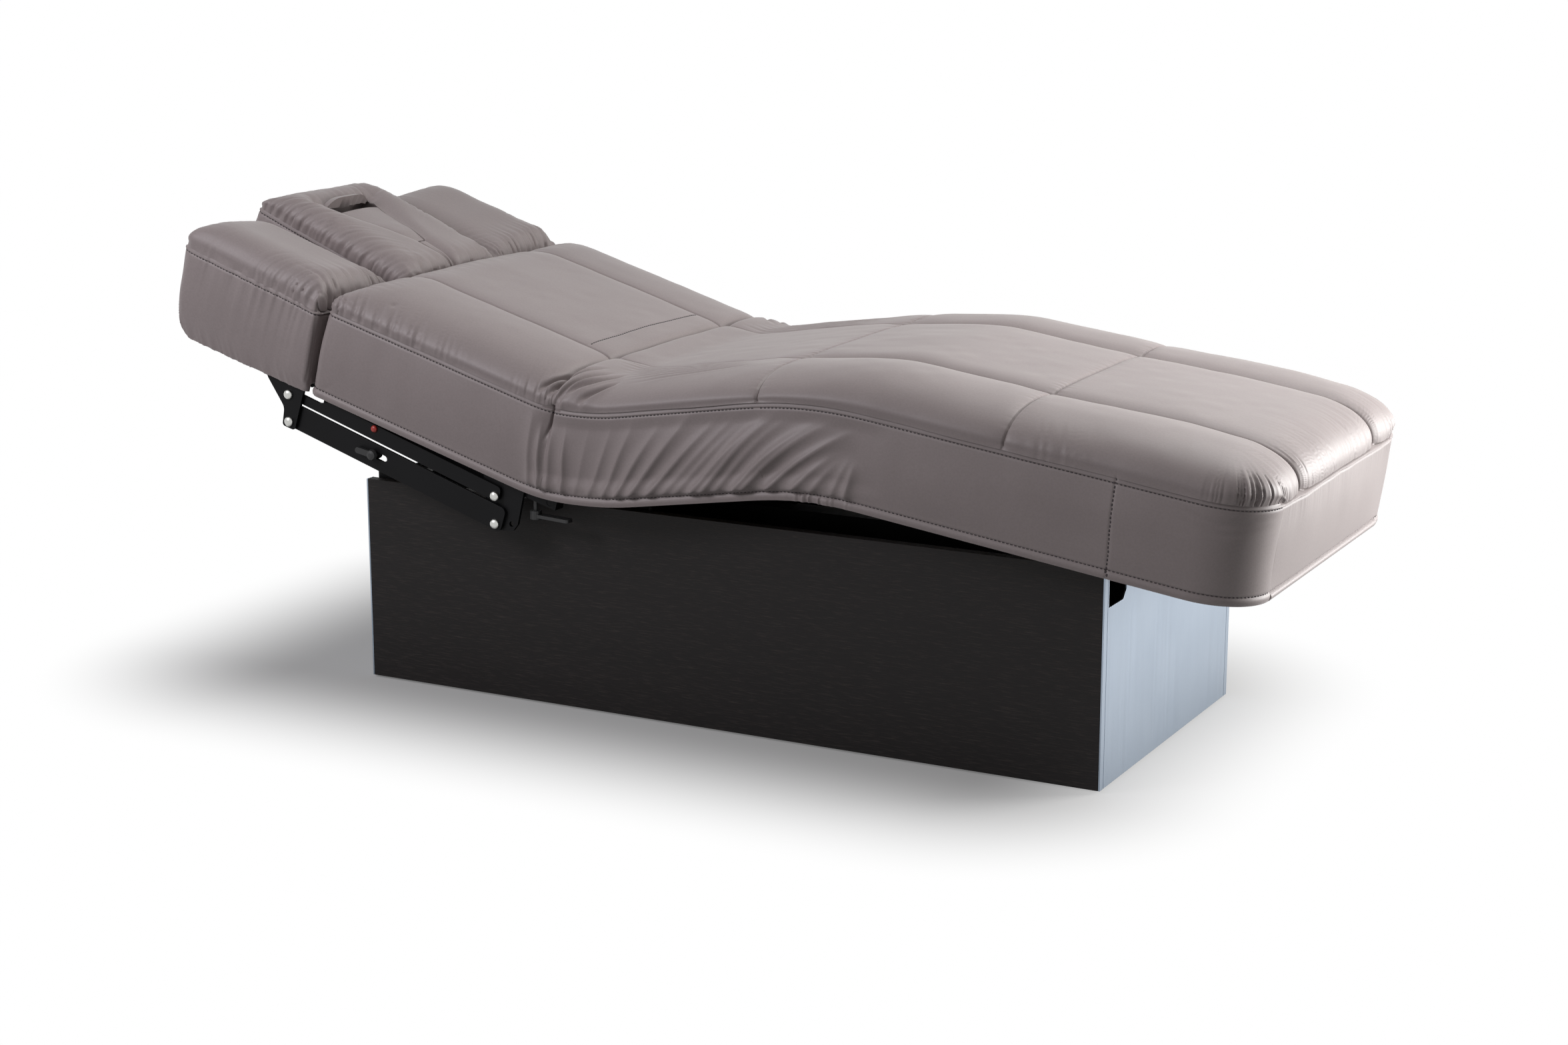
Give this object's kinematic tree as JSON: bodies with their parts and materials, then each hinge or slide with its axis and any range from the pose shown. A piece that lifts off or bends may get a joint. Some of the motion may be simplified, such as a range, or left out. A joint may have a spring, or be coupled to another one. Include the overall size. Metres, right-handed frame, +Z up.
{
  "type": "spa treatment table",
  "caption": "Electric spa treatment table: box base with lifting columns, hinged padded back, thigh and foot sections, lowering arm rests and tilting head rest with face slot.",
  "frame": {"origin": "on the floor under the middle of the overall box", "axes": "+X from the head end to the foot end, +Z up, -Y towards the side seen in the picture"},
  "size_m": [2.1291, 0.8, 0.8707],
  "materials": {
    "leather": "soft taupe-grey upholstery leather, satin",
    "wenge": "dark wenge veneer, matt",
    "aluminium": "satin anodised",
    "black_steel": "black powder coat",
    "steel": "ground",
    "plywood": "raw plywood",
    "black_plastic": "matt"
  },
  "bodies": {
    "base": {"floor_plate": "black_steel", "side_panel_front": "wenge", "side_panel_rear": "wenge", "end_plate_foot": "aluminium", "end_plate_head": "aluminium", "levelling_foot_front_head": "black_plastic", "levelling_foot_front_foot": "black_plastic", "levelling_foot_rear_head": "black_plastic", "levelling_foot_rear_foot": "black_plastic", "column_outer_head": "aluminium", "column_outer_foot": "aluminium", "control_box": "black_plastic"},
    "column_stage": {"column_mid_head": "aluminium", "column_mid_foot": "aluminium"},
    "lift": {"column_inner_head": "aluminium", "column_inner_foot": "aluminium", "upper_frame": "black_steel", "hinge_bracket_front": "black_steel", "hinge_bracket_rear": "black_steel", "seat_board": "plywood", "seat_cushion": "leather", "waist_foam": "leather", "hip_foam": "leather", "back_actuator": "black_plastic", "leg_actuator": "black_plastic"},
    "roller": {"support_roller": "black_plastic"},
    "back_rod": {"back_push_rod": "steel"},
    "leg_rod": {"leg_push_rod": "steel"},
    "back": {"back_frame": "black_steel", "back_shaft": "steel", "back_board": "plywood", "back_cushion": "leather", "pivot_plate_front": "black_steel", "pivot_plate_rear": "black_steel", "head_shaft": "steel"},
    "head": {"head_board": "plywood", "head_cushion": "leather"},
    "insert": {"face_insert": "leather"},
    "thigh": {"thigh_frame": "black_steel", "thigh_shaft": "steel", "thigh_board": "plywood", "thigh_cushion": "leather"},
    "calf": {"calf_frame": "black_steel", "calf_board": "plywood", "calf_cushion": "leather", "knee_foam": "leather"},
    "link_front": {"arm_link_front": "black_steel"},
    "strap_front": {"arm_strap_front": "black_steel"},
    "arm_front": {"arm_bracket_front": "black_steel", "arm_cushion_front": "leather"},
    "release_front": {"release_lever_front": "black_plastic"},
    "clamp_front": {"clamp_lever_front": "black_plastic"},
    "link_rear": {"arm_link_rear": "black_steel"},
    "strap_rear": {"arm_strap_rear": "black_steel"},
    "arm_rear": {"arm_bracket_rear": "black_steel", "arm_cushion_rear": "leather"},
    "release_rear": {"release_lever_rear": "black_plastic"},
    "clamp_rear": {"clamp_lever_rear": "black_plastic"}
  },
  "joints": [
    {"name": "lift", "type": "slide", "parent": "base", "child": "lift", "axis": [0, 0, 1], "range_m": [0, 0.3]},
    {"name": "column_stage", "type": "slide", "parent": "base", "child": "column_stage", "axis": [0, 0, 1], "range_m": [0, 0.15]},
    {"name": "back_tilt", "type": "hinge", "parent": "lift", "child": "back", "pos_m": [-0.23, 0, 0.388], "axis": [0, 1, 0], "range_deg": [-16.5, 43.5], "deforming": ["waist_foam"]},
    {"name": "back_rod", "type": "slide", "parent": "lift", "child": "back_rod", "axis": [-1, 0, 0], "range_m": [-0.0174, 0.0457]},
    {"name": "thigh_raise", "type": "hinge", "parent": "lift", "child": "thigh", "pos_m": [-0.1, 0, 0.388], "axis": [0, -1, 0], "range_deg": [-8.9, 3.1], "deforming": ["hip_foam"]},
    {"name": "leg_rod", "type": "slide", "parent": "lift", "child": "leg_rod", "axis": [1, 0, 0], "range_m": [-0.0094, 0.0034]},
    {"name": "knee", "type": "hinge", "parent": "thigh", "child": "calf", "pos_m": [0.27542, 0, 0.44679], "axis": [0, 1, 0], "range_deg": [-16.75, 5.9], "deforming": ["knee_foam"]},
    {"name": "roller_spin", "type": "hinge", "parent": "lift", "child": "roller", "pos_m": [0.7046, 0, 0.36428], "axis": [0, 1, 0], "continuous": true},
    {"name": "head_tilt", "type": "hinge", "parent": "back", "child": "head", "pos_m": [-0.72859, 0, 0.53569], "axis": [0, 1, 0], "range_deg": [-20, 8]},
    {"name": "insert_lift", "type": "slide", "parent": "head", "child": "insert", "axis": [0.3875, 0, 0.9219], "range_m": [0, 0.12]},
    {"name": "arm_front_swing", "type": "hinge", "parent": "back", "child": "link_front", "pos_m": [-0.33616, -0.375, 0.34122], "axis": [0, 1, 0], "range_deg": [-28, 0]},
    {"name": "arm_front_strap", "type": "hinge", "parent": "back", "child": "strap_front", "pos_m": [-0.33522, -0.375, 0.39122], "axis": [0, 1, 0], "range_deg": [-28, 0]},
    {"name": "arm_front_level", "type": "hinge", "parent": "link_front", "child": "arm_front", "pos_m": [-0.7724, -0.375, 0.48491], "axis": [0, 1, 0], "range_deg": [0, 28]},
    {"name": "arm_front_release", "type": "slide", "parent": "link_front", "child": "release_front", "axis": [0.9498, 0, -0.3128], "range_m": [0, 0.014], "stiffness_N_per_m": 250, "springref_m": -0.004},
    {"name": "clamp_front_turn", "type": "hinge", "parent": "back", "child": "clamp_front", "pos_m": [-0.267, -0.352, 0.352], "axis": [0, 0, -1], "range_deg": [0, 60]},
    {"name": "arm_rear_swing", "type": "hinge", "parent": "back", "child": "link_rear", "pos_m": [-0.33616, 0.375, 0.34122], "axis": [0, 1, 0], "range_deg": [-28, 0]},
    {"name": "arm_rear_strap", "type": "hinge", "parent": "back", "child": "strap_rear", "pos_m": [-0.33522, 0.375, 0.39122], "axis": [0, 1, 0], "range_deg": [-28, 0]},
    {"name": "arm_rear_level", "type": "hinge", "parent": "link_rear", "child": "arm_rear", "pos_m": [-0.7724, 0.375, 0.48491], "axis": [0, 1, 0], "range_deg": [0, 28]},
    {"name": "arm_rear_release", "type": "slide", "parent": "link_rear", "child": "release_rear", "axis": [0.9498, 0, -0.3128], "range_m": [0, 0.014], "stiffness_N_per_m": 250, "springref_m": -0.004},
    {"name": "clamp_rear_turn", "type": "hinge", "parent": "back", "child": "clamp_rear", "pos_m": [-0.267, 0.352, 0.352], "axis": [0, 0, 1], "range_deg": [0, 60]}
  ],
  "couplings": [
    {"joint": "column_stage", "follows": "lift", "ratio": 0.5},
    {"joint": "back_rod", "follows": "back_tilt", "m_per_rad": 0.06},
    {"joint": "leg_rod", "follows": "thigh_raise", "m_per_rad": 0.06},
    {"joint": "knee", "follows": "thigh_raise", "ratio": 1.8764},
    {"joint": "arm_front_strap", "follows": "arm_front_swing", "ratio": 1},
    {"joint": "arm_front_level", "follows": "arm_front_swing", "ratio": -1},
    {"joint": "arm_rear_strap", "follows": "arm_rear_swing", "ratio": 1},
    {"joint": "arm_rear_level", "follows": "arm_rear_swing", "ratio": -1}
  ]
}
